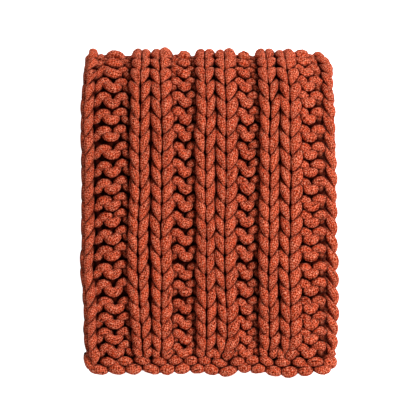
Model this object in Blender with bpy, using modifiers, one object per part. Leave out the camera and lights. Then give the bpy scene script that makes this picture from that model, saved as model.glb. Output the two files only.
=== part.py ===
"""A chunky knit blanket, folded in three across its width and then in three along its length.

One piece of thick rib-knit cloth, lying flat on the floor: three packs, one on the other, each of three
layers. Metres, +Z up. The origin is the centre of the footprint, on the floor. +Y is the long way of the
folded blanket, and the large rolled fold of its top pack is at +Y. The cast-on edge of the cloth lies on
top at -Y.
"""

import math

import bpy

# ------------------------------------------------------------------ cloth
THICKNESS = 0.032      # one layer of knitted cloth
LAYER_GAP = 0.003      # air between layers of one pack
PACK_GAP = 0.003       # air between packs

# ------------------------------------------------------------------ footprint
X_LEFT = -0.2140       # selvedge of the upper layer
X_RIGHT = 0.2120       # outside of the fold between the upper and the middle layer
Y_FRONT = -0.2720      # cast-on edge of the top pack
Y_BACK = 0.2730        # outside of the fold between the top and the middle pack
FOLD2_BACKSET = 0.010  # the lower roll at the front stays behind the cast-on edge by this
END_BACKSET = 0.011    # and the bind-off edge at the back behind the upper roll by this

PACK = 3 * THICKNESS + 2 * LAYER_GAP
LAYER_STEP = THICKNESS + LAYER_GAP
ROLL = PACK + PACK_GAP / 2             # outer radius of the folds between packs
EDGE_ROLL = THICKNESS + LAYER_GAP / 2  # outer radius of the folds between layers

# Layers of a pack from the top down: the name, and how far its left and right ends stay inside the footprint.
LAYERS = (
    # name      left    right
    ("upper",  0.0000, 0.0000),
    ("middle", 0.0060, 0.0000),
    ("lower",  0.0060, 0.0100),
)

# Segments of the mesh: straight part of a layer, fold between layers, and the same along the length.
ACROSS_FLAT, ACROSS_FOLD = 8, 9
ALONG_FLAT, ALONG_ROLL = 9, 10

# How far the sides lie inside the footprint, along the cloth from its cast-on edge.
# part of the cloth, how far along it (0 to 1), left side, right side
SIDES = (
    ("top pack",    0.00, 0.0100, 0.0090),
    ("top pack",    0.03, 0.0060, 0.0040),
    ("top pack",    0.07, 0.0055, 0.0010),
    ("top pack",    0.22, 0.0040, 0.0005),
    ("top pack",    0.45, 0.0005, 0.0015),
    ("top pack",    0.68, 0.0010, 0.0025),
    ("top pack",    1.00, 0.0000, 0.0040),
    ("upper roll",  0.12, 0.0020, 0.0060),
    ("upper roll",  0.22, 0.0030, 0.0080),
    ("upper roll",  0.36, 0.0055, 0.0105),
    ("upper roll",  0.50, 0.0080, 0.0120),
    ("upper roll",  0.75, 0.0060, 0.0100),
    ("middle pack", 0.00, 0.0040, 0.0080),
    ("middle pack", 0.50, 0.0030, 0.0050),
    ("lower roll",  0.00, 0.0050, 0.0030),
    ("lower roll",  0.50, 0.0090, 0.0060),
    ("bottom pack", 0.00, 0.0050, 0.0040),
    ("bottom pack", 0.55, 0.0020, 0.0020),
    ("bottom pack", 1.00, 0.0060, 0.0070),
)

# The cast-on edge isn't straight: across the cloth (0 to 1), how far it lies behind Y_FRONT.
CAST_ON = (
    (0.00, 0.0040), (0.06, 0.0005), (0.18, 0.0045), (0.33, 0.0015),
    (0.44, 0.0040), (0.56, 0.0000), (0.68, 0.0045), (0.80, 0.0000),
    (0.95, 0.0010), (1.00, 0.0060),
)
CAST_ON_REACH = 0.12   # the unevenness fades out over this length of cloth
SAG = 0.0030           # the top is this much lower at the middle of its front and at its sides

# Parts of the cloth along its length: the name and its length at the middle of the pack.
ROLL_MIDDLE = ROLL - PACK / 2
Y_ROLL_UPPER = Y_BACK - ROLL
Y_ROLL_LOWER = Y_FRONT + FOLD2_BACKSET + ROLL
ALONG = (
    ("top pack", Y_ROLL_UPPER - Y_FRONT, ALONG_FLAT),
    ("upper roll", math.pi * ROLL_MIDDLE, ALONG_ROLL),
    ("middle pack", Y_ROLL_UPPER - Y_ROLL_LOWER, ALONG_FLAT - 2),
    ("lower roll", math.pi * ROLL_MIDDLE, ALONG_ROLL),
    ("bottom pack", Y_BACK - END_BACKSET - Y_ROLL_LOWER, ALONG_FLAT),
)
HEIGHT = 3 * PACK + 2 * PACK_GAP


def smooth(rows, at):
    """Value of a table of (place, value) at a place, eased between its rows."""
    if at <= rows[0][0]:
        return rows[0][1]
    for (p0, v0), (p1, v1) in zip(rows, rows[1:]):
        if at <= p1:
            t = (at - p0) / (p1 - p0)
            return v0 + (v1 - v0) * (3 * t * t - 2 * t * t * t)
    return rows[-1][1]


def starts():
    """Where each part of the cloth begins, as {name: (start, length)}."""
    table, at = {}, 0.0
    for name, length, _ in ALONG:
        table[name] = (at, length)
        at += length
    return table


STARTS = starts()
LEFT_IN = tuple((STARTS[p][0] + f * STARTS[p][1], left) for p, f, left, _ in SIDES)
RIGHT_IN = tuple((STARTS[p][0] + f * STARTS[p][1], right) for p, f, _, right in SIDES)


def section(part, t):
    """Point of the pack's section: x, and depth below the pack's outer face. t runs 0 to 1 in each part."""
    left = {name: X_LEFT + value for name, value, _ in LAYERS}
    right = {name: X_RIGHT - value for name, _, value in LAYERS}
    turn_right = X_RIGHT - EDGE_ROLL
    turn_left = left["middle"] + EDGE_ROLL
    middle_radius = (THICKNESS + LAYER_GAP) / 2
    if part == 0:
        return left["upper"] + t * (turn_right - left["upper"]), THICKNESS / 2
    if part == 1:
        a = math.pi * t
        return (turn_right + middle_radius * math.sin(a),
                LAYER_STEP / 2 + THICKNESS / 2 - middle_radius * math.cos(a))
    if part == 2:
        return turn_right + t * (turn_left - turn_right), THICKNESS / 2 + LAYER_STEP
    if part == 3:
        a = math.pi * t
        return (turn_left - middle_radius * math.sin(a),
                THICKNESS / 2 + 1.5 * LAYER_STEP - middle_radius * math.cos(a))
    return turn_left + t * (right["lower"] - turn_left), THICKNESS / 2 + 2 * LAYER_STEP


def sweep(part, t, depth):
    """Carries a depth in the pack along the folded length: y, z."""
    if part == 0:
        return Y_FRONT + t * (Y_ROLL_UPPER - Y_FRONT), HEIGHT - depth
    if part == 1:
        a, r = math.pi * t, ROLL - depth
        return Y_ROLL_UPPER + r * math.sin(a), HEIGHT - ROLL + r * math.cos(a)
    if part == 2:
        return (Y_ROLL_UPPER + t * (Y_ROLL_LOWER - Y_ROLL_UPPER),
                HEIGHT - 2 * ROLL + depth)
    if part == 3:
        a, r = math.pi * t, PACK_GAP / 2 + depth
        return (Y_ROLL_LOWER - r * math.sin(a),
                HEIGHT - 2 * PACK - 1.5 * PACK_GAP + r * math.cos(a))
    return (Y_ROLL_LOWER + t * (ALONG[4][1]), HEIGHT - 2 * PACK - 2 * PACK_GAP - depth)


def place(across, along):
    """Point of the folded cloth's middle surface. across and along count parts: 2.5 is the middle of the third."""
    i, j = min(int(across), 4), min(int(along), 4)
    x, depth = section(i, across - i)
    y, z = sweep(j, along - j, depth)
    name, length, _ = ALONG[j]
    run = STARTS[name][0] + (along - j) * length
    share = (x - X_LEFT) / (X_RIGHT - X_LEFT)
    share = min(max(share, 0.0), 1.0)
    x += smooth(LEFT_IN, run) * (1 - share) - smooth(RIGHT_IN, run) * share
    fade = max(0.0, 1 - run / CAST_ON_REACH)
    y += smooth(CAST_ON, share) * fade * fade * (3 - 2 * fade)
    dip = (2 * share - 1) ** 4 + max(0.0, -y / 0.3) ** 2 * (1 - abs(2 * share - 1))
    z -= SAG * dip * z / HEIGHT if z > THICKNESS else 0.0
    return x, y, z


def fabric(name, colour, roughness):
    material = bpy.data.materials.new(name)
    material.use_nodes = True
    shader = material.node_tree.nodes["Principled BSDF"]
    shader.inputs["Base Color"].default_value = (*colour, 1.0)
    shader.inputs["Roughness"].default_value = roughness
    shader.inputs["Metallic"].default_value = 0.0
    material.diffuse_color = (*colour, 1.0)
    return material


def clear():
    for obj in list(bpy.data.objects):
        bpy.data.objects.remove(obj, do_unlink=True)


def parts_of(count):
    """Places of the grid's lines, counted in parts, for (segments, ...)."""
    places = [0.0]
    for part, segments in enumerate(count):
        places += [part + k / segments for k in range(1, segments + 1)]
    return places


def build():
    clear()
    collection = bpy.data.collections.new("Knit blanket")
    bpy.context.scene.collection.children.link(collection)

    across = parts_of((ACROSS_FLAT, ACROSS_FOLD, ACROSS_FLAT - 1, ACROSS_FOLD, ACROSS_FLAT))
    along = parts_of([segments for _, _, segments in ALONG])
    bpy.ops.mesh.primitive_grid_add(
        x_subdivisions=len(across) - 1, y_subdivisions=len(along) - 1, size=1.0)
    blanket = bpy.context.object
    blanket.name = blanket.data.name = "knit_blanket"
    for vertex in blanket.data.vertices:
        i = round((vertex.co.x + 0.5) * (len(across) - 1))
        j = round((vertex.co.y + 0.5) * (len(along) - 1))
        vertex.co = place(across[i], along[j])

    solid = blanket.modifiers.new("cloth thickness", "SOLIDIFY")
    solid.thickness = THICKNESS
    solid.offset = 0.0
    solid.use_even_offset = True
    solid.use_quality_normals = True
    solid.use_rim = True

    blanket.data.materials.append(fabric("rust yarn", (0.55, 0.09, 0.035), 0.9))
    for owner in list(blanket.users_collection):
        owner.objects.unlink(blanket)
    collection.objects.link(blanket)


build()
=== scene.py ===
import math

import bpy
import numpy as np
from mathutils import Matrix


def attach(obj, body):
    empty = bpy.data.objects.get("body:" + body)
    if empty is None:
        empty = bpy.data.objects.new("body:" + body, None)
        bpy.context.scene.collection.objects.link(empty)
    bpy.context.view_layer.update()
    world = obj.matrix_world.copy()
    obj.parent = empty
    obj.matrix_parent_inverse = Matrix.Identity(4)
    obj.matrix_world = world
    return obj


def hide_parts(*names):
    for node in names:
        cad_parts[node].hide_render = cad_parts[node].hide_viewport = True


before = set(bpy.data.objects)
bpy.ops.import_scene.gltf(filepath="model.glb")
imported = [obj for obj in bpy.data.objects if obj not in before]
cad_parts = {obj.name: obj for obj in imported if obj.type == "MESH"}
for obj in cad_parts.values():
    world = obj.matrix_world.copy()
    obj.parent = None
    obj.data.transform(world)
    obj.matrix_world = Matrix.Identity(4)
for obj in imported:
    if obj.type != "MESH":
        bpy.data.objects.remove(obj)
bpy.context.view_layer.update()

RNG = np.random.default_rng(7)

# ====================================================================== sizes
PX = 0.00166           # one unit of the knit's own grid, in metres
THICKNESS = 0.032      # one layer of cloth
LAYER_GAP = 0.003
PACK_GAP = 0.003
X_LEFT, X_RIGHT = -0.2140, 0.2120
Y_FRONT, Y_BACK = -0.2720, 0.2730
FOLD2_BACKSET, END_BACKSET = 0.010, 0.011

PACK = 3 * THICKNESS + 2 * LAYER_GAP
STEP = THICKNESS + LAYER_GAP
ROLL = PACK + PACK_GAP / 2
EDGE_ROLL = THICKNESS + LAYER_GAP / 2
EDGE_MID = STEP / 2
HEIGHT = 3 * PACK + 2 * PACK_GAP
Y1 = Y_BACK - ROLL                    # centre line of the upper roll
Y2 = Y_FRONT + FOLD2_BACKSET + ROLL   # centre line of the lower roll
X_MIDDLE, X_LOWER = X_LEFT + 0.006, X_RIGHT - 0.010
TURN_R = X_RIGHT - EDGE_ROLL
TURN_L = X_MIDDLE + EDGE_ROLL

YARN = 0.0080          # radius of the yarn

# How far the sides lie inside the footprint, along the cloth: part, place in it, left, right.
SIDES = (
    (0, 0.00, 0.0100, 0.0090), (0, 0.03, 0.0060, 0.0040), (0, 0.07, 0.0055, 0.0010),
    (0, 0.22, 0.0040, 0.0005), (0, 0.45, 0.0005, 0.0015), (0, 0.68, 0.0010, 0.0025),
    (0, 1.00, 0.0000, 0.0040), (1, 0.12, 0.0020, 0.0060), (1, 0.22, 0.0030, 0.0080),
    (1, 0.36, 0.0055, 0.0105), (1, 0.50, 0.0080, 0.0120), (1, 0.75, 0.0060, 0.0100),
    (2, 0.00, 0.0040, 0.0080), (2, 0.50, 0.0030, 0.0050), (3, 0.00, 0.0050, 0.0030),
    (3, 0.50, 0.0090, 0.0060), (4, 0.00, 0.0050, 0.0040), (4, 0.55, 0.0020, 0.0020),
    (4, 1.00, 0.0060, 0.0070),
)
CAST_ON = (
    (0.00, 0.0040), (0.06, 0.0005), (0.18, 0.0045), (0.33, 0.0015), (0.44, 0.0040),
    (0.56, 0.0000), (0.68, 0.0045), (0.80, 0.0000), (0.95, 0.0010), (1.00, 0.0060),
)
CAST_ON_REACH = 0.12
SAG = 0.0030

# Lengths of the five parts of the folded length, counted on the knit's grid, where a roll
# counts at the radius at which its stitches lie.
STITCH_RADIUS = 0.098
RUNS = np.array([Y1 - Y_FRONT, math.pi * STITCH_RADIUS, Y1 - Y2, math.pi * STITCH_RADIUS,
                 Y_BACK - END_BACKSET - Y2]) / PX
RUN_START = np.concatenate([[0.0], np.cumsum(RUNS)])
V_END = RUN_START[-1]

# Lengths across: layer, fold, layer, fold, layer, at the middle of the cloth.
ACROSS = np.array([TURN_R - X_LEFT, math.pi * EDGE_MID, TURN_R - TURN_L, math.pi * EDGE_MID,
                   X_LOWER - TURN_L]) / PX
ACROSS_START = np.concatenate([[0.0], np.cumsum(ACROSS)])


def ease(t):
    t = np.clip(t, 0.0, 1.0)
    return t * t * (3 - 2 * t)


def eased(rows, at):
    """Value of a table of (place, value) at places, eased between its rows."""
    places = np.array([r[0] for r in rows])
    values = np.array([r[1] for r in rows])
    k = np.clip(np.searchsorted(places, at) - 1, 0, len(rows) - 2)
    t = ease((at - places[k]) / (places[k + 1] - places[k]))
    return values[k] + (values[k + 1] - values[k]) * t


LEFT_IN = [(p + f, left) for p, f, left, _ in SIDES]
RIGHT_IN = [(p + f, right) for p, f, _, right in SIDES]


# ====================================================================== fold
def fold(s, v, n):
    """Carries the knit's grid to the folded blanket. s runs across, v along, both in PX; n is the height
    over the cloth's middle, towards its front, in metres."""
    s, v, n = np.broadcast_arrays(np.asarray(s, float), np.asarray(v, float), np.asarray(n, float))
    part = np.clip(np.searchsorted(ACROSS_START, s, side="right") - 1, 0, 4)
    t = s - ACROSS_START[part]
    d = t * PX
    a = t / ACROSS[part] * math.pi
    out_ab = np.maximum(EDGE_MID + n, 0.0015)
    out_bc = np.maximum(EDGE_MID - n, 0.0015)
    half = THICKNESS / 2
    x = np.choose(part, [X_LEFT + d, TURN_R + out_ab * np.sin(a), TURN_R - d,
                         TURN_L - out_bc * np.sin(a), TURN_L + d])
    depth = np.choose(part, [half - n, half + EDGE_MID - out_ab * np.cos(a), half + STEP + n,
                             half + 1.5 * STEP - out_bc * np.cos(a), half + 2 * STEP - n])
    run = np.clip(np.searchsorted(RUN_START, v, side="right") - 1, 0, 4)
    u = v - RUN_START[run]
    e = u * PX
    b = u / RUNS[run] * math.pi
    r1 = np.maximum(ROLL - depth, 0.0012)
    r3 = np.maximum(PACK_GAP / 2 + depth, 0.0012)
    y = np.choose(run, [Y_FRONT + e, Y1 + r1 * np.sin(b), Y1 - e, Y2 - r3 * np.sin(b), Y2 + e])
    z = np.choose(run, [HEIGHT - depth, HEIGHT - ROLL + r1 * np.cos(b), HEIGHT - 2 * ROLL + depth,
                        HEIGHT - 2 * PACK - 1.5 * PACK_GAP + r3 * np.cos(b),
                        HEIGHT - 2 * PACK - 2 * PACK_GAP - depth])
    share = np.clip((x - X_LEFT) / (X_RIGHT - X_LEFT), 0.0, 1.0)
    place = run + u / RUNS[run]
    x = x + eased(LEFT_IN, place) * (1 - share) - eased(RIGHT_IN, place) * share
    fade = np.clip(1 - v * PX / CAST_ON_REACH, 0.0, 1.0)
    y = y + eased(CAST_ON, share) * ease(fade)
    dip = (2 * share - 1) ** 4 + np.clip(-y / 0.3, 0.0, None) ** 2 * (1 - abs(2 * share - 1))
    z = z - np.where(z > THICKNESS, SAG * dip * z / HEIGHT, 0.0)
    return np.stack([x, y, z], -1)


# ====================================================================== wales
WALES = 48
KIND = np.array([1] + ([-1, -1, 1, 1] * 12)[:-1])       # 2x2 rib: +1 knit, -1 purl

# The upper layer's wales: centre, centre in the cast-on band, height of the wale, fullness.
TOP_WALES = (
    # centre   band   height   full
    (2.6,       5.0,  0.0000, 1.00),
    (22.0,     24.7, -0.0030, 1.00),
    (41.0,     41.7, -0.0052, 0.97),
    (58.5,     59.7,  0.0034, 1.00),
    (81.5,     77.7,  0.0036, 1.02),
    (98.0,     92.7, -0.0030, 1.00),
    (111.0,   109.7, -0.0080, 0.95),
    (124.5,   122.7,  0.0034, 1.00),
    (146.0,   137.7,  0.0036, 1.02),
    (160.0,   157.7, -0.0030, 1.00),
    (173.0,   171.7, -0.0080, 0.95),
    (189.0,   185.7,  0.0034, 1.00),
    (210.5,   202.7,  0.0036, 1.04),
    (221.5,   219.7, -0.0018, 1.02),
    (237.5,   234.7, -0.0036, 1.02),
    (254.5,   254.0,  0.0016, 0.96),
    (272.0,   270.5,  0.0010, 1.00),
)


def wale_tables():
    """Places of all the wales: the upper layer's from the table, the others spread over what is left."""
    centre = [row[0] for row in TOP_WALES]
    band = [row[1] for row in TOP_WALES]
    height = [row[2] / PX for row in TOP_WALES]
    full = [row[3] for row in TOP_WALES]
    first = len(centre)
    kinds = KIND[first - 1:]
    gaps = np.where(kinds[:-1] + kinds[1:] == 2, 1.28, np.where(kinds[:-1] + kinds[1:] == -2, 0.86, 0.96))
    gaps = gaps * (1 + RNG.uniform(-0.05, 0.05, len(gaps)))
    total = ACROSS_START[-1] - 2.6 - centre[-1]
    places = centre[-1] + np.cumsum(gaps) * total / gaps.sum()
    for k, place in enumerate(places):
        knit = KIND[first + k] > 0
        centre.append(place)
        band.append(place)
        height.append((0.0015 if knit else -0.0020) / PX)
        full.append(0.97)
    height[-1] = 0.0
    return [np.array(c) for c in (centre, band, height, full)]


CENTRE, BAND, WALE_UP, FULL = wale_tables()

# ====================================================================== rows
FIRST = [12.0, 23.0, 37.5, 53.0, 69.0, 86.5, 103.5, 121.5, 138.5, 155.5, 172.0, 189.0, 206.0, 223.5, 241.0, 258.5]
PITCH = 17.3


def row_places():
    rows = list(FIRST)
    left = V_END - 21.0 - rows[-1]
    count = int(round(left / PITCH))
    rows += [rows[-1] + left * (k + 1) / count for k in range(count)]
    return np.array(rows)


SINKER = row_places()
ROWS = len(SINKER) - 1          # row r reaches from SINKER[r] to past SINKER[r + 1]
DRIFT = RNG.uniform(0, 2 * math.pi, (WALES, 3))
JITTER = RNG.normal(0, 1, (ROWS + 2, WALES, 8)).clip(-2, 2)


# How far the upper layer's wales wander to the right at three places along it, in PX.
WANDER_AT = (12.0, 55.0, 180.0, 265.0, 330.0)
WANDER = np.zeros((WALES, 5))
for wale, places in {3: (-1.5, 0.2, 1.0), 4: (-2.5, 0.2, 1.5), 5: (-1.0, 1.0, 1.5), 6: (-1.0, 1.3, 1.5), 7: (-0.3, 1.8, 1.8),
                     8: (-1.5, 0.8, 1.8), 9: (-2.0, 1.3, 2.3), 10: (-1.5, 1.3, 2.3), 11: (0.0, 0.3, 1.2),
                     12: (-1.5, 1.8, 2.4), 13: (2.0, 1.4, 1.2), 14: (1.6, 0.7, 0.9)}.items():
    WANDER[wale, 1:4] = places


def centre_of(j, v):
    """Middle of wale j, in PX, at a place along the cloth."""
    near = np.clip(1 - ease((v - 12.0) / 26.0) + 1 - ease((V_END - 12.0 - v) / 26.0), 0, 1)
    slip = (0.8 * np.sin(v / 47.0 + DRIFT[j, 0]) + 0.5 * np.sin(v / 23.0 + DRIFT[j, 1])
            + 0.3 * np.sin(v / 11.0 + DRIFT[j, 2]))
    k = np.clip(np.searchsorted(WANDER_AT, v) - 1, 0, 3)
    f = np.clip((v - np.take(WANDER_AT, k)) / (np.take(WANDER_AT, k + 1) - np.take(WANDER_AT, k)), 0, 1)
    slip = slip * np.where(j == 0, 0.4, 1.0) + WANDER[j, k] * (1 - f) + WANDER[j, k + 1] * f
    return CENTRE[j] * (1 - near) + BAND[j] * near + slip * (1 - near)


# A stitch is drawn through points, from the middle of its sinker to the middle of its head: way out from the
# wale's middle, share of the way to the next row and way past it, height as a share of DEEP, radius. All in PX.
ROLL_TOP = RUN_START[1] + 0.5 * RUNS[1]
ROLL_LOW = RUN_START[3] + 0.5 * RUNS[3]
DEEP = 5.3             # half the way between a loop's legs and its head
KNIT_HALF = np.array((
    (7.2, 0.00, -3.0, -1.05, 3.30),
    (3.4, 0.00, -2.4, -0.40, 1.60),
    (2.4, 0.00, -0.6, 0.95, 1.20),
    (2.8, 0.00, 3.2, 1.38, 2.30),
    (3.9, 0.00, 8.0, 1.48, 4.00),
    (4.9, 0.36, 5.6, 1.30, 4.75),
    (6.2, 0.62, 5.2, 0.90, 4.40),
    (7.4, 0.87, 4.6, 0.45, 3.60),
    (8.2, 1.00, 6.6, 0.02, 2.50),
    (7.9, 1.00, 10.0, -0.55, 2.00),
    (5.0, 1.00, 12.0, -1.00, 2.70),
    (0.0, 1.00, 12.8, -1.15, 3.00),
))
PURL_HALF = np.array((
    (6.3, 0.00, -1.3, 1.04, 4.80),
    (3.2, 0.00, 2.4, 0.20, 3.90),
    (3.9, 0.45, 0.0, -0.98, 3.50),
    (4.3, 0.85, 0.0, -1.05, 3.50),
    (4.7, 1.00, 2.2, -0.35, 3.70),
    (3.5, 1.00, 5.8, 0.58, 4.10),
    (0.0, 1.00, 7.2, 0.88, 4.40),
))
# How far the upper layer's wales move to the right over the upper roll, in PX.
LEAN = {4: -2.5, 5: -1.2, 8: -0.8, 11: 0.4, 12: -3.0, 13: -1.5, 14: -1.5, 15: -2.0, 16: -2.0}
# The left selvedge's own leg leans further: its way out from the wale's middle.
LEFT_LEG = np.array((7.2, 2.6, 2.4, 3.4, 4.7, 5.7, 6.7, 7.8, 8.5, 8.2, 5.0, 0.0))
EDGE_LEG = np.array((7.2, 5.4, 5.2, 5.4, 5.7, 6.1, 6.4, 6.6, 6.7, 6.4, 5.0, 0.0))
EDGE_UP = np.array((-1.05, -0.40, 1.10, 1.52, 1.60, 1.38, 0.98, 0.58, 0.18, -0.45, -0.95, -1.15))
LAST_LEG = np.array((0.0, 1.4, 1.6, 2.2, 2.4, 1.6, 0.4, -1.0, -1.4, 0.0, 0.0, 0.0))
# How a purl wale's heads lie: middle further to the right, right end higher, all higher, in PX, and their size.
HEAD_LIE = {1: (1.0, 0.8, -1.5, 1.06), 2: (-0.4, 1.3, 0.3, 1.00), 5: (-0.8, -1.5, -1.2, 1.08), 6: (-0.4, 1.6, 0.5, 1.00),
            9: (0.0, -1.5, -1.2, 1.08), 10: (-0.4, 1.6, 0.5, 1.00), 13: (1.5, -1.5, -0.4, 1.12), 14: (0.4, 0.2, 0.2, 1.06)}
# The same for the outer half of a selvedge wale, whose leg lies under the inner one.
EDGE_HALF = np.array((
    (-2.9, 0.00, 1.0, -1.25, 4.10),
    (-2.0, 0.35, 0.0, -0.45, 4.30),
    (-1.8, 0.75, 0.0, -0.05, 4.40),
    (-2.0, 1.00, 1.5, -0.30, 4.30),
    (-2.9, 1.00, 5.0, -0.95, 4.10),
    (-4.6, 1.00, 7.6, -1.05, 4.00),
))


def low_roll(v):
    """One over the lower roll, whose rows stand wide apart on the outside, and nought away from it."""
    return ease((0.75 * RUNS[3] - np.abs(v - ROLL_LOW)) / (0.25 * RUNS[3]))


def row_points(row, j0, j1):
    """Control points of a row's yarn from wale j0 to wale j1: across, along, height, radius, all in PX."""
    if row < 0 or row >= ROWS:
        return edge_points(row, j0, j1)
    top = SINKER[row + 1]
    found = []
    for j in range(j0, j1 + 1):
        knit = KIND[j] > 0
        bottom = SINKER[row] if row or 0 < j < WALES - 1 else 10.0
        half = KNIT_HALF if knit else PURL_HALF
        jit = JITTER[row][j]
        for side in (-1, 1):
            other = j + side
            if other < 0 or other >= WALES:
                pts = EDGE_HALF.copy()
                x = side * pts[:, 0]
            else:
                pts = half.copy()
                gap = abs(CENTRE[other] - CENTRE[j]) / 2
                scale = np.clip(gap / 9.0, 0.74, 1.08) if not knit else np.clip(gap / 9.6, 0.86, 1.04)
                x = side * pts[:, 0] * scale
                if knit and KIND[other] < 0:           # fuller beside the furrow on its right
                    pts[2:10, 4] *= 1.18 if side > 0 else 1.03
                    if side > 0:
                        x[4:9] += (0.5, 0.9, 1.2, 1.2, 1.0)
                        pts[3:6, 3] += 0.10
                        pts[6:9, 3] -= 0.22
                        pts[2:4, 4] *= 0.85
                if not knit and KIND[other] < 0:       # the bar to the next purl wale is a wide crescent
                    x[0] *= 0.82
                    pts[0, 2], pts[0, 4] = -0.5, 4.9
                if not knit and side > 0 and KIND[other] > 0:      # dives early under the ridge on its right
                    pts[0, 3], pts[0, 4] = (0.40, 4.2) if j != 14 else (-0.45, 3.4)
                    pts[5, 3], pts[5, 4] = 0.58, 4.6
                    x[5] *= 1.12
                if j in (5, 9, 13) and side < 0:       # rises from under the ridge on its left
                    pts[0, 3], pts[0, 4] = 0.30, 3.9
                    pts[4, 3], pts[5, 3], pts[5, 4] = -0.25, 0.80, 4.5
                if j == 1 and side < 0:
                    x[0] *= 0.84
                    pts[0, 3], pts[0, 4] = 0.58, 4.3
                    pts[4, 3], pts[4, 4], pts[5, 3], pts[5, 4] = -0.85, 3.4, 0.52, 4.2
            v = bottom + pts[:, 1] * (top - bottom) + pts[:, 2]
            if j == 0 and side > 0:
                x = LEFT_LEG + (0 if row else LAST_LEG)
                pts[1:10, 4] *= 0.78 if row else 1.15
            if j == 15 and side < 0:
                x = -EDGE_LEG
                pts[:, 3] = EDGE_UP
                pts[2:4, 4] *= 1.25
                pts[4:9, 4] *= 1.00
            if not knit:
                across, tilt, up, size = HEAD_LIE.get(j, (0.0, 1.0, 0.0, 0.95))
                x[4:] = x[4:] * (0.4 + 0.6 * size) + across
                v[4:] += up
                v[4:6] += side * tilt
                pts[4:, 4] *= size
            bell = np.clip((v - bottom) / (top - bottom + 5), 0, 1)
            x = x * (1 + 0.05 * jit[0]) + (0.55 * jit[1] + 0.30 * side * jit[2]) * bell
            v = v + (0.45 * jit[3] + 0.25 * side * jit[4]) * bell * (1 - pts[:, 1] * 0.3)
            if row and 0 < j < WALES - 1:
                v = v + 1.1 * np.sin(v / 52.0 + DRIFT[j, 1]) + side * (0.8 if knit else 0.0) * np.sin(v / 75.0 + DRIFT[j, 2])
            over = np.exp(-((v - ROLL_TOP) / 48.0) ** 2)      # drawn flatter over the upper roll
            rise = WALE_UP[j] * ease((v - 12.0) / 24.0) * (1 - (0.75 if knit else 0.30) * over)
            n = pts[:, 3] * DEEP * (1 + 0.04 * jit[5]) * (1 - 0.14 * over) + rise
            n = n + {6: 1.5, 10: 1.5, 14: 1.0, 15: 2.5, 16: 2.5}.get(j, 0.0) * over
            crown = np.exp(-((v - ROLL_TOP) / 22.0) ** 2)
            n = n + {8: -0.8, 12: -1.4, 15: -4.0, 16: -3.0}.get(j, 0.0) * crown - (1.0 if knit and 0 < j < 15 else 0.0) * over
            x = x + LEAN.get(j, 0.0) * over + {15: -5.0, 16: -7.0}.get(j, 0.0) * crown
            if not knit and 0 < j < 15:
                n[4:] = n[4:] - 0.42 * DEEP * over[4:]
                if KIND[other] < 0:
                    x[0] = x[0] * (1 + 0.16 * over[0])
            if row == 0 and 0 < j < WALES - 1:     # the first row's foot lies behind the cast-on
                n = np.where(v < (17.0 if j == 15 else 20.0), np.minimum(n, -0.9 * DEEP), n)
            radius = pts[:, 4] * FULL[j] * (1 + 0.025 * jit[6]) * (1 + (0.05 if knit else 0.0) * over)
            radius = radius * (1 + (0.52 if knit else 0.08) * low_roll(v) * np.clip(-1.6 * pts[:, 3], 0, 1))
            if row == 0 and knit:
                radius = radius * 0.90
            part = np.stack([centre_of(np.full(len(x), j), v) + x, v, n, radius], -1)
            found.append(part if side < 0 else part[::-1][1:])
        if j < j1 and KIND[j] == KIND[j + 1]:
            level = -1.08 if knit else 1.20
            v = bottom - (1.9 if knit else 2.5) + 0.5 * jit[7]
            mid = (centre_of(np.array([j]), v) + centre_of(np.array([j + 1]), v))[0] / 2
            found.append(np.array([[mid, v, level * DEEP + (WALE_UP[j] + WALE_UP[j + 1]) / 2,
                                    (3.9 * (1 + 0.48 * low_roll(v)) if knit else 5.4 if j in (5, 9) else 5.0) * FULL[j]]]))
    return np.concatenate(found)


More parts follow.
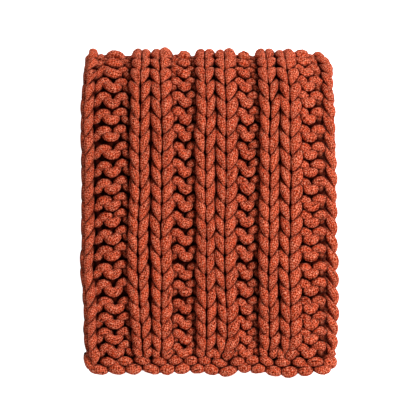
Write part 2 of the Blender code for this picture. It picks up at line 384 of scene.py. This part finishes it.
def edge_points(row, j0, j1):
    """The cast-on or bind-off row: one low oval under each gap between wales, and one over each wale's foot."""
    flip = row >= ROWS
    found = []
    for j in range(j0, j1 + 1):
        c = BAND[j]
        before = BAND[j - 1] if j else -c + 2.0
        after = BAND[j + 1] if j < WALES - 1 else 2 * (ACROSS_START[-1] - 1.0) - c
        m0, m1 = (before + c) / 2, (after + c) / 2
        jit = JITTER[row][j]
        h0, h1 = c - m0, m1 - c
        tilt = 1.0 * jit[0]
        up = 0.7 * jit[1]
        size = 5.4 + 0.35 * jit[2]
        low = 5.5 + 0.6 * jit[3]
        lean = 0.7 * jit[4]
        pts = [(m0 + 0.54 * h0, low + 0.5 - lean, 0.30, size - 0.6), (m0 + 0.78 * h0, low + 3.4, -1.00, 3.0),
               (c - 0.78 * h0, 12.4, -1.00, 3.0), (c - 0.55 * h0, 13.5 - tilt + up, 0.40, 3.9),
               (c - 0.22 * h0, 14.1 - 0.4 * tilt + up, 1.08, 4.8), (c + 0.22 * h1, 14.1 + 0.4 * tilt + up, 1.08, 4.8),
               (c + 0.55 * h1, 13.5 + tilt + up, 0.40, 3.9), (c + 0.78 * h1, 12.4, -1.00, 3.0),
               (m1 - 0.78 * h1, low + 3.4, -1.00, 3.0), (m1 - 0.54 * h1, low + 0.5 + lean, 0.30, size - 0.6)]
        if j == 15:      # the corner's knob
            pts = pts[:2] + [(246.2, 8.6, -0.60, 3.6), (248.0, 10.8, 0.55, 5.7), (250.0, 11.6, 0.95, 7.1),
                             (252.8, 11.4, 0.95, 7.1), (257.0, 10.6, 0.30, 5.2)] + pts[7:]
        if j == 0:
            pts = [(3.6, 21.0, -1.0, 3.4), (3.6, 15.5, -0.3, 4.6), (7.4, 10.6, 0.45, 5.9), (11.6, 7.4, -0.7, 3.8)] + pts[8:]
        if j == WALES - 1:
            end = ACROSS_START[-1]
            pts = pts[:3] + [(end - 5.4, 5.6, 0.35, 4.7), (end - 4.4, 9.5, -0.5, 4.5), (end - 5.2, 15.0, -1.0, 4.2)]
        elif j < j1:
            pts.append((m1, low, 0.98, size + 0.15))
        found.append(np.array(pts))
    pts = np.concatenate(found)
    pts[:, 2] *= DEEP
    pts[:, 1] += 2.5 * ease((pts[:, 0] - ACROSS_START[1] - 10.0) / 30.0)      # behind the top layer's
    if flip:
        pts[:, 1] = V_END - pts[:, 1]
    return pts


def curved(points, samples=7):
    """A smooth curve through control points (centripetal Catmull-Rom)."""
    p = np.concatenate([2 * points[:1] - points[1:2], points, 2 * points[-1:] - points[-2:-1]])
    step = np.maximum(np.linalg.norm(np.diff(p[:, :3], axis=0), axis=1), 0.3) ** 0.5
    t1, t2, t3 = step[:-2], step[:-2] + step[1:-1], step[:-2] + step[1:-1] + step[2:]
    p0, p1, p2, p3 = p[:-3], p[1:-2], p[2:-1], p[3:]
    f = np.arange(samples) / samples
    t = (t1[:, None] + (t2 - t1)[:, None] * f)[..., None]
    t1, t2, t3 = (x[:, None, None] for x in (t1, t2, t3))
    p0, p1, p2, p3 = (x[:, None] for x in (p0, p1, p2, p3))
    a1 = p0 * (t1 - t) / t1 + p1 * t / t1
    a2 = p1 * (t2 - t) / (t2 - t1) + p2 * (t - t1) / (t2 - t1)
    a3 = p2 * (t3 - t) / (t3 - t2) + p3 * (t - t2) / (t3 - t2)
    b1 = a1 * (t2 - t) / t2 + a2 * t / t2
    b2 = a2 * (t3 - t) / (t3 - t1) + a3 * (t - t1) / (t3 - t1)
    c = b1 * (t2 - t) / (t2 - t1) + b2 * (t - t1) / (t2 - t1)
    return np.concatenate([c.reshape(-1, points.shape[1]), points[-1:]])


# ====================================================================== yarn
def tube(points, radius, sides, bulge=None):
    """Rings of a tube along points. Returns verts (N, sides, 3) and the length along it."""
    step = np.diff(points, axis=0)
    seg = np.linalg.norm(step, axis=1)
    length = np.concatenate([[0.0], np.cumsum(seg)])
    tangent = np.empty_like(points)
    tangent[1:-1] = points[2:] - points[:-2]
    tangent[0], tangent[-1] = step[0], step[-1]
    tangent /= np.linalg.norm(tangent, axis=1)[:, None] + 1e-12
    normal = np.empty_like(points)
    first = np.cross(tangent[0], [0.3, 0.1, 1.0])
    normal[0] = first / np.linalg.norm(first)
    for i in range(1, len(points)):
        n = normal[i - 1] - tangent[i] * (normal[i - 1] @ tangent[i])
        normal[i] = n / (np.linalg.norm(n) + 1e-12)
    other = np.cross(tangent, normal)
    angle = np.arange(sides) / sides * 2 * math.pi
    r = radius[:, None] * np.ones(sides)[None]
    if bulge is not None:
        r = r * bulge(length, angle)
    ring = (normal[:, None] * np.cos(angle)[None, :, None] + other[:, None] * np.sin(angle)[None, :, None])
    return points[:, None] + ring * r[..., None], length


class Strands:
    """Collects tubes into one mesh with UVs: U along the yarn's outer face, V round it, both in yarn widths."""

    def __init__(self, sides):
        self.sides = sides
        self.verts, self.faces, self.uvs, self.levels = [], [], [], []
        self.count = 0

    def add(self, points, radius, high, out, offset=0.0, bulge=None):
        """high is each point's height towards the outside of the fold, out the way outside, there."""
        rings, length = tube(points, radius, self.sides, bulge)
        # Height of each ring point towards the outside, which the painted shade reads from the Level UV map.
        level = high[:, None] + ((rings - points[:, None]) * out[:, None]).sum(-1)
        n, m = rings.shape[:2]
        i = np.arange(n - 1)[:, None] * m
        k = np.arange(m)[None]
        k1 = (k + 1) % m
        quads = np.stack([i + k, i + k1, i + m + k1, i + m + k], -1).reshape(-1, 4) + self.count
        along = np.gradient(points, axis=0)
        along /= np.linalg.norm(along, axis=1)[:, None] + 1e-12
        face = points + (out - along * (out * along).sum(1)[:, None]) * radius[:, None]
        step = np.maximum(np.linalg.norm(np.diff(face, axis=0), axis=1), 0.4 * np.diff(length))
        u = (np.concatenate([[0.0], np.cumsum(step)]) / (2 * YARN) + offset)[:, None]
        a = np.arange(m)[None] / m
        a1 = (np.arange(m)[None] + 1) / m
        u0, u1 = u[:-1], u[1:]
        one = np.ones((n - 1, m))
        uv = np.stack([np.stack([u0 * one, a * one], -1), np.stack([u0 * one, a1 * one], -1),
                       np.stack([u1 * one, a1 * one], -1), np.stack([u1 * one, a * one], -1)], 2)
        self.verts.append(rings.reshape(-1, 3))
        self.faces.append(quads)
        self.uvs.append(uv.reshape(-1, 2))
        c = np.stack([level[:-1], np.roll(level[:-1], -1, 1), np.roll(level[1:], -1, 1), level[1:]], -1)
        c = ((c + 0.012) / 0.024).reshape(-1)
        self.levels.append(np.stack([c, 0.5 + 0 * c], -1))
        self.count += n * m

    def triangles(self):
        return 2 * sum(len(f) for f in self.faces)

    def make(self, name, material):
        verts = np.concatenate(self.verts)
        faces = np.concatenate(self.faces)
        mesh = bpy.data.meshes.new(name)
        mesh.vertices.add(len(verts))
        mesh.vertices.foreach_set("co", verts.astype(np.float32).ravel())
        mesh.loops.add(faces.size)
        mesh.loops.foreach_set("vertex_index", faces.astype(np.int32).ravel())
        mesh.polygons.add(len(faces))
        mesh.polygons.foreach_set("loop_start", np.arange(0, faces.size, 4, dtype=np.int32))
        mesh.polygons.foreach_set("loop_total", np.full(len(faces), 4, np.int32))
        mesh.update(calc_edges=True)
        mesh.validate()
        mesh.polygons.foreach_set("use_smooth", np.ones(len(faces), bool))
        layer = mesh.uv_layers.new(name="Yarn")
        layer.data.foreach_set("uv", np.concatenate(self.uvs).astype(np.float32).ravel())
        # The Level UV map carries that height for the painted shade.
        layer = mesh.uv_layers.new(name="Level")
        layer.data.foreach_set("uv", np.concatenate(self.levels).astype(np.float32).ravel())
        obj = bpy.data.objects.new(name, mesh)
        bpy.context.scene.collection.objects.link(obj)
        mesh.materials.append(material)
        return obj


def lumps(seed):
    """Uneven roundness of a soft tube: it flattens and dents a little along its length."""
    rng = np.random.default_rng(seed)
    terms = [(rng.uniform(0.010, 0.022), rng.uniform(40, 160), k, rng.uniform(0, 2 * math.pi))
             for k in (0, 1, 2, 2, 3, 3, 4)]

    def bulge(length, angle):
        value = np.ones((len(length), len(angle)))
        for size, rate, turns, phase in terms:
            value = value + size * np.sin(length[:, None] * rate + turns * angle[None] + phase)
        return value

    return bulge


def runs(mask):
    """Runs of true in a mask, as (first, last)."""
    found, start = [], None
    for k, on in enumerate(list(mask) + [False]):
        if on and start is None:
            start = k
        if not on and start is not None:
            found.append((start, k - 1))
            start = None
    return found


STIFF = 0.9            # the yarn's stiffness: how far a bend is spread along it, in PX


def spaced(points, gap):
    """The same path with its points an even gap apart."""
    length = np.concatenate([[0.0], np.cumsum(np.linalg.norm(np.diff(points[:, :3], axis=0), axis=1))])
    count = max(2, int(round(length[-1] / gap)) + 1)
    at = np.linspace(0, length[-1], count)
    return np.stack([np.interp(at, length, points[:, k]) for k in range(points.shape[1])], -1)


def softened(points, gap, spread):
    reach = int(3 * spread / gap)
    k = np.arange(-reach, reach + 1) * gap
    kernel = np.exp(-0.5 * (k / spread) ** 2)
    kernel /= kernel.sum()
    head = 2 * points[:1] - points[1:reach + 1][::-1]
    tail = 2 * points[-1:] - points[-reach - 1:-1][::-1]
    full = np.concatenate([head, points, tail])
    return np.stack([np.convolve(full[:, c], kernel, "valid") for c in range(points.shape[1])], -1)


def laid(row, j0, j1, gap):
    """Points of a row's yarn in place, an even gap apart, its radius there, its height and the way outwards."""
    return placed(row_points(row, j0, j1), gap)


def placed(points, gap):
    path = softened(spaced(curved(points), 0.6), 0.6, STIFF)
    path = spaced(path, gap)
    s, v, n = path[:, 0], path[:, 1], path[:, 2] * PX
    turned = ACROSS_START[3] + 0.5 * ACROSS[3]
    n = n + 2.8 * PX * np.exp(-((s - turned) / 26.0) ** 2) * np.exp(-(v / 34.0) ** 2)
    points = fold(s, v, n)
    points[:, 2] = np.maximum(points[:, 2], 1.03 * path[:, 3] * PX + 0.0004)      # none of it sinks into the table
    side = np.where(s < ACROSS_START[2] + 0.5 * ACROSS[2], 1.0, -1.0)
    out = fold(s, v, side * 0.002) - fold(s, v, 0.0)
    out /= np.linalg.norm(out, axis=1)[:, None] + 1e-12
    level = n * (1 - 2 * ease((s - (ACROSS_START[2] + 0.2 * ACROSS[2])) / (0.6 * ACROSS[2])))      # painted shade: darker deeper in the knit, lighter towards the outside
    return points, path[:, 3] * PX, level, out


def turns(edge, first, last):
    """Control points of the yarn's turns from row to row at a selvedge: 0 left, 1 right."""
    found = []
    for row in range(first, last):
        if row % 2 == edge and row + 1 < ROWS:
            b0, b1 = SINKER[row] + 1.0, SINKER[row + 1] + 1.0
            rise = b1 - b0
            pts = np.array([(6.4, b0 + 1.5, -1.20 * DEEP, 4.0), (4.6, b0 + 0.15 * rise, -1.30 * DEEP, 4.2),
                            (4.1, b0 + 0.5 * rise, -1.15 * DEEP, 4.3), (4.6, b0 + 0.85 * rise, -1.30 * DEEP, 4.2),
                            (6.4, b1 - 1.5, -1.20 * DEEP, 4.0)])
            if row == 0:
                pts[:, 0] += 3.5
            if edge:
                pts[:, 0] = ACROSS_START[-1] - pts[:, 0]
            found.append(pts)
    return found


# ====================================================================== material
def link(tree, a, b):
    tree.links.new(a, b)


def yarn_material(name, dark=1.0):
    material = bpy.data.materials.new(name)
    material.use_nodes = True
    tree = material.node_tree
    nodes = tree.nodes
    nodes.clear()
    out = nodes.new("ShaderNodeOutputMaterial")
    shader = nodes.new("ShaderNodeBsdfPrincipled")
    link(tree, shader.outputs["BSDF"], out.inputs["Surface"])
    shader.inputs["Roughness"].default_value = 0.88
    shader.inputs["Sheen Weight"].default_value = 0.03
    shader.inputs["Sheen Roughness"].default_value = 0.5
    shader.inputs["Sheen Tint"].default_value = (1.0, 0.55, 0.42, 1.0)
    shader.inputs["Specular IOR Level"].default_value = 0.03

    uv = nodes.new("ShaderNodeUVMap")
    uv.uv_map = "Yarn"
    split = nodes.new("ShaderNodeSeparateXYZ")
    link(tree, uv.outputs["UV"], split.inputs[0])

    def math_node(kind, a, b=None, c=None):
        node = nodes.new("ShaderNodeMath")
        node.operation = kind
        for k, value in enumerate((a, b, c)):
            if value is None:
                continue
            if isinstance(value, (int, float)):
                node.inputs[k].default_value = value
            else:
                link(tree, value, node.inputs[k])
        return node.outputs[0]

    # Round the tube, as a place on a circle, so that the noise has no seam.
    angle = math_node("MULTIPLY", split.outputs["Y"], 2 * math.pi)
    cos = math_node("COSINE", angle)
    sin = math_node("SINE", angle)

    def around(along, radius):
        combine = nodes.new("ShaderNodeCombineXYZ")
        link(tree, math_node("MULTIPLY", split.outputs["X"], along), combine.inputs[0])
        link(tree, math_node("MULTIPLY", cos, radius), combine.inputs[1])
        link(tree, math_node("MULTIPLY", sin, radius), combine.inputs[2])
        return combine.outputs[0]

    def noise(vector, scale, detail=2.0, rough=0.5):
        node = nodes.new("ShaderNodeTexNoise")
        node.inputs["Scale"].default_value = scale
        node.inputs["Detail"].default_value = detail
        node.inputs["Roughness"].default_value = rough
        link(tree, vector, node.inputs["Vector"])
        return node.outputs["Fac"]

    def ramp(value, low, high, to_low=0.0, to_high=1.0):
        node = nodes.new("ShaderNodeMapRange")
        node.interpolation_type = "SMOOTHSTEP"
        link(tree, value, node.inputs["Value"])
        node.inputs["From Min"].default_value = low
        node.inputs["From Max"].default_value = high
        node.inputs["To Min"].default_value = to_low
        node.inputs["To Max"].default_value = to_high
        return node.outputs["Result"]

    def grains(vector, scale, feature, randomness=0.8):
        node = nodes.new("ShaderNodeTexVoronoi")
        node.feature = feature
        node.inputs["Scale"].default_value = scale
        node.inputs["Randomness"].default_value = randomness
        link(tree, vector, node.inputs["Vector"])
        return node

    # The yarn is knitted of fine threads: small holes in rows along it and round it, drawn out of line a little, and
    # a few folds along it.
    # Painted shade darkens the holes and the folds, and painted highlights lighten streaks on the threads.
    warp = nodes.new("ShaderNodeTexNoise")
    warp.inputs["Scale"].default_value = 3.0
    warp.inputs["Detail"].default_value = 2.0
    link(tree, around(1.0, 0.5), warp.inputs["Vector"])
    drawn = nodes.new("ShaderNodeSeparateXYZ")
    link(tree, warp.outputs["Color"], drawn.inputs[0])
    along = math_node("MULTIPLY_ADD", split.outputs["X"], 3.7, math_node("MULTIPLY", drawn.outputs["X"], 2.6))
    round_ = math_node("MULTIPLY_ADD", split.outputs["Y"], 13.0, math_node("MULTIPLY", drawn.outputs["Y"], 2.6))
    wave = math_node("SUBTRACT", math_node("COSINE", math_node("MULTIPLY", round_, 2 * math.pi)),
                     math_node("COSINE", math_node("MULTIPLY", along, 2 * math.pi)))
    pits = noise(around(1.0, 0.6), 3.4, 2.0, 0.6)
    streak = noise(around(0.5, 1.5), 3.2, 2.0, 0.6)
    thread = ramp(math_node("MULTIPLY_ADD", pits, 2.2, wave), -0.38, 0.85)
    light = ramp(math_node("MULTIPLY_ADD", streak, 2.4, wave), 1.6, 3.0)

    fuzz = noise(around(2.0, 1.0), 3.0, 3.0, 0.65)
    crease_raw = noise(around(0.12, 1.0), 1.5, 1.0, 0.5)
    crease = ramp(math_node("ABSOLUTE", math_node("SUBTRACT", crease_raw, 0.5)), 0.0, 0.022)
    crease = math_node("MAXIMUM", crease, ramp(noise(around(0.35, 0.4), 2.3, 1.0, 0.5), 0.48, 0.56))
    cloud = noise(around(0.18, 0.25), 2.0, 2.0, 0.5)

    # Height: creases, then threads, then fuzz.
    bump1 = nodes.new("ShaderNodeBump")
    bump1.inputs["Strength"].default_value = 0.35
    bump1.inputs["Distance"].default_value = 0.0016
    link(tree, crease, bump1.inputs["Height"])
    bump2 = nodes.new("ShaderNodeBump")
    bump2.inputs["Strength"].default_value = 0.9
    bump2.inputs["Distance"].default_value = 0.0013
    link(tree, thread, bump2.inputs["Height"])
    link(tree, bump1.outputs["Normal"], bump2.inputs["Normal"])
    bump3 = nodes.new("ShaderNodeBump")
    bump3.inputs["Strength"].default_value = 0.5
    bump3.inputs["Distance"].default_value = 0.0008
    link(tree, fuzz, bump3.inputs["Height"])
    link(tree, bump2.outputs["Normal"], bump3.inputs["Normal"])
    link(tree, bump3.outputs["Normal"], shader.inputs["Normal"])

    def mix(factor, a, b):
        node = nodes.new("ShaderNodeMix")
        node.data_type = "RGBA"
        link(tree, factor, node.inputs["Factor"])
        for value, socket in ((a, node.inputs[6]), (b, node.inputs[7])):
            if isinstance(value, tuple):
                socket.default_value = (*value, 1.0)
            else:
                link(tree, value, socket)
        return node.outputs[2]

    def c(r, g, b):
        return (r * dark, g * dark, b * dark)

    base = mix(ramp(cloud, 0.3, 0.7), c(0.570, 0.0475, 0.0118), c(0.692, 0.0710, 0.0190))
    base = mix(ramp(fuzz, 0.42, 0.72, 0.0, 0.75), base, c(0.800, 0.184, 0.089))
    # Painted highlights: paler streaks where the threads catch the light.
    base = mix(math_node("MULTIPLY", light, 0.68), base, c(0.880, 0.408, 0.257))
    # Painted shade in the small holes between the fine threads, which the bump also sinks.
    deep = mix(thread, c(0.150, 0.012, 0.0035), base)
    # Painted shade along the folds, which the bump also dents.
    tone = mix(ramp(crease, 0.0, 1.0, 0.12, 1.0), c(0.060, 0.004, 0.001), deep)
    # Painted shade: darker the deeper a point lies in the knit, read from the Level UV map.
    shade_depth_uv = nodes.new("ShaderNodeUVMap")
    shade_depth_uv.uv_map = "Level"
    level = nodes.new("ShaderNodeSeparateXYZ")
    link(tree, shade_depth_uv.outputs["UV"], level.inputs[0])
    tone = mix(ramp(level.outputs["X"], 0.20, 0.95, 0.0, 1.0), c(0.030, 0.002, 0.0006), tone)
    # Painted shade: the colour darkens in the gaps between the yarns, where light that reaches in loses itself.
    shade = nodes.new("ShaderNodeAmbientOcclusion")
    shade.samples = 12
    shade.inputs["Distance"].default_value = 0.012
    tone = mix(ramp(shade.outputs["AO"], 0.12, 0.70, 0.0, 1.0), c(0.065, 0.0036, 0.0009), tone)
    # Painted shade in the narrow creases, by ambient occlusion at a short reach.
    near = nodes.new("ShaderNodeAmbientOcclusion")
    near.samples = 8
    near.inputs["Distance"].default_value = 0.0045
    tone = mix(ramp(near.outputs["AO"], 0.28, 0.84, 0.10, 1.0), c(0.070, 0.004, 0.001), tone)
    link(tree, tone, shader.inputs["Base Color"])
    return material


def cloth_material(name):
    """The inner yarn between the loops, seen only deep in the gaps; its dark colour is painted shade, darker still by
    ambient occlusion.
    """
    material = bpy.data.materials.new(name)
    material.use_nodes = True
    tree = material.node_tree
    nodes = tree.nodes
    shader = nodes["Principled BSDF"]
    shader.inputs["Roughness"].default_value = 0.95
    shader.inputs["Specular IOR Level"].default_value = 0.05
    coord = nodes.new("ShaderNodeTexCoord")
    noise = nodes.new("ShaderNodeTexNoise")
    noise.inputs["Scale"].default_value = 60.0
    noise.inputs["Detail"].default_value = 5.0
    link(tree, coord.outputs["Object"], noise.inputs["Vector"])
    ramp = nodes.new("ShaderNodeValToRGB")
    ramp.color_ramp.elements[0].position = 0.35
    ramp.color_ramp.elements[0].color = (0.120, 0.010, 0.003, 1)
    ramp.color_ramp.elements[1].position = 0.7
    ramp.color_ramp.elements[1].color = (0.340, 0.040, 0.013, 1)
    link(tree, noise.outputs["Fac"], ramp.inputs["Fac"])
    # Painted shade: the sheet goes near-black where it is closed in.
    shade = nodes.new("ShaderNodeAmbientOcclusion")
    shade.samples = 12
    shade.inputs["Distance"].default_value = 0.020
    dark = nodes.new("ShaderNodeMix")
    dark.data_type = "RGBA"
    link(tree, shade.outputs["AO"], dark.inputs["Factor"])
    dark.inputs[6].default_value = (0.006, 0.0005, 0.0003, 1)
    link(tree, ramp.outputs["Color"], dark.inputs[7])
    link(tree, dark.outputs[2], shader.inputs["Base Color"])
    bump = nodes.new("ShaderNodeBump")
    bump.inputs["Distance"].default_value = 0.003
    link(tree, noise.outputs["Fac"], bump.inputs["Height"])
    link(tree, bump.outputs["Normal"], shader.inputs["Normal"])
    return material


# ====================================================================== cloth
def base_cloth(material):
    """The cloth itself as a thin sheet on the folds, kept behind the loops that show, drawn dark as painted shade in
    the gaps.
    """
    s_lines = np.concatenate([np.linspace(ACROSS_START[k], ACROSS_START[k + 1], n, endpoint=False)
                              for k, n in enumerate((16, 10, 14, 10, 16))] + [[ACROSS_START[-1] - 6]])
    s_lines[0] = 5.0
    v_lines = np.concatenate([np.linspace(RUN_START[k], RUN_START[k + 1], n, endpoint=False)
                              for k, n in enumerate((20, 16, 14, 16, 20))] + [[V_END - 8]])
    v_lines[0] = 9.0
    s, v = np.meshgrid(s_lines, v_lines)
    turn = ease((s - (ACROSS_START[2] + 0.25 * ACROSS[2])) / (0.5 * ACROSS[2]))
    near = 0.40 * np.exp(-((s - 257.0) / 13.0) ** 2) + 0.14 * np.exp(-((v - ROLL_TOP) / 60.0) ** 2)
    n = (-1 + 2 * turn) * (0.40 - near) * THICKNESS
    points = fold(s, v, n)
    rows, cols = s.shape
    i = np.arange(rows - 1)[:, None] * cols
    k = np.arange(cols - 1)[None]
    faces = np.stack([i + k, i + k + 1, i + cols + k + 1, i + cols + k], -1).reshape(-1, 4)
    mesh = bpy.data.meshes.new("blanket_cloth")
    mesh.from_pydata(points.reshape(-1, 3).tolist(), [], faces.tolist())
    mesh.polygons.foreach_set("use_smooth", np.ones(len(faces), bool))
    mesh.update()
    obj = bpy.data.objects.new("blanket_cloth", mesh)
    bpy.context.scene.collection.objects.link(obj)
    mesh.materials.append(material)
    return obj


# ====================================================================== build
ROLL_1_END = np.searchsorted(SINKER, RUN_START[2] + 6)
ROLL_2_START = np.searchsorted(SINKER, RUN_START[3] - 8) - 1
PACK_2_START = np.searchsorted(SINKER, RUN_START[2])
FINE_ROWS = np.searchsorted(SINKER, RUN_START[1] + 0.62 * RUNS[1])


def wanted(row):
    """Which wales of a row can be seen from anywhere outside."""
    mask = np.zeros(WALES, bool)
    mask[[0, 1, 14, 15, 16, 17, 30, 31, 32, 33, 46, 47]] = True
    mask[[2, 13, 18, 29, 34]] = True
    if row <= ROLL_1_END:
        mask[0:18] = True
    if row >= ROLL_2_START:
        mask[30:48] = True
    if row <= 2 or row >= ROWS - 3:
        mask[:] = True
    return mask


def build():
    material = yarn_material("rust yarn")
    fine = ((2.9, 14))
    coarse = ((4.6, 9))
    pieces = []

    # Top face, in strips of rows.
    split = [-1, 7, 14, FINE_ROWS]
    for k in range(3):
        strands = Strands(fine[1])
        for row in range(split[k], split[k + 1]):
            strands.add(*laid(row, 0, 15, fine[0]), offset=row * 3.7, bulge=lumps(100 + row))
        for pts in turns(0, max(split[k], 0), split[k + 1]):
            strands.add(*placed(pts, fine[0]))
        pieces.append(strands.make(f"yarn_top_{k + 1}", material))

    # The rest, in a few pieces.
    groups = {"yarn_upper": (-1, ROLL_1_END), "yarn_middle": (ROLL_1_END, ROLL_2_START),
              "yarn_lower": (ROLL_2_START, (ROLL_2_START + ROWS) // 2),
              "yarn_bottom": ((ROLL_2_START + ROWS) // 2, ROWS + 1)}
    for name, (first, last) in groups.items():
        strands = Strands(coarse[1])
        for row in range(first, last):
            mask = wanted(row)
            if row < FINE_ROWS:
                mask[0:16] = False
            for j0, j1 in runs(mask):
                strands.add(*laid(row, j0, j1, coarse[0]), offset=row * 3.7, bulge=lumps(100 + row))
        for pts in turns(0, max(first, FINE_ROWS), last) + turns(1, max(first, 0), last):
            strands.add(*placed(pts, coarse[0]))
        pieces.append(strands.make(name, material))
    return pieces


PIECES = build()
# The inner sheet is drawn dark, as painted shade in the gaps between the loops.
CLOTH = base_cloth(cloth_material("inner yarn"))
for piece in PIECES + [CLOTH]:
    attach(piece, "root")
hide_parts("knit_blanket")

# ====================================================================== studio
bpy.ops.mesh.primitive_plane_add(size=12.0, location=(0, 0, -0.0005))
floor = bpy.context.object
floor.name = "floor"
paper = bpy.data.materials.new("white paper")
paper.use_nodes = True
paper.node_tree.nodes["Principled BSDF"].inputs["Base Color"].default_value = (0.93, 0.93, 0.93, 1)
paper.node_tree.nodes["Principled BSDF"].inputs["Emission Color"].default_value = (1, 1, 1, 1)
paper.node_tree.nodes["Principled BSDF"].inputs["Emission Strength"].default_value = 1.0
paper.node_tree.nodes["Principled BSDF"].inputs["Roughness"].default_value = 0.9
paper.node_tree.nodes["Principled BSDF"].inputs["Specular IOR Level"].default_value = 0.1
floor.data.materials.append(paper)

scene = bpy.context.scene
world = bpy.data.worlds.new("studio")
scene.world = world
world.use_nodes = True
world.node_tree.nodes["Background"].inputs["Color"].default_value = (1.0, 1.0, 1.0, 1)
world.node_tree.nodes["Background"].inputs["Strength"].default_value = 0.20


def area_light(name, place, target, size, power, colour=(1, 1, 1)):
    data = bpy.data.lights.new(name, "AREA")
    data.shape = "RECTANGLE"
    data.size, data.size_y = size
    data.energy = power
    data.color = colour
    obj = bpy.data.objects.new(name, data)
    scene.collection.objects.link(obj)
    obj.location = place
    aim = np.array(target, float) - np.array(place, float)
    from mathutils import Vector
    obj.rotation_euler = Vector(aim).to_track_quat("-Z", "Y").to_euler()
    return obj


area_light("key", (1.6, 0.7, 2.9), (0, 0, 0.25), (0.8, 0.8), 94.5)
area_light("fill", (-0.6, -1.0, 3.2), (0, 0, 0.25), (1.5, 1.5), 12.0)

DISTANCE = 15.0
camera_data = bpy.data.cameras.new("camera")
camera = bpy.data.objects.new("camera", camera_data)
scene.collection.objects.link(camera)
camera_data.sensor_fit = "HORIZONTAL"
camera_data.sensor_width = 36.0
camera_data.lens = 36.0 * DISTANCE / (416 * PX)
camera_data.clip_end = 50
camera.location = (-1.3 * PX, 4.7 * PX, HEIGHT + DISTANCE)
camera.rotation_euler = (0, 0, 0)
scene.camera = camera

scene.view_settings.view_transform = "Standard"
scene.view_settings.look = "None"
scene.view_settings.exposure = 0.0
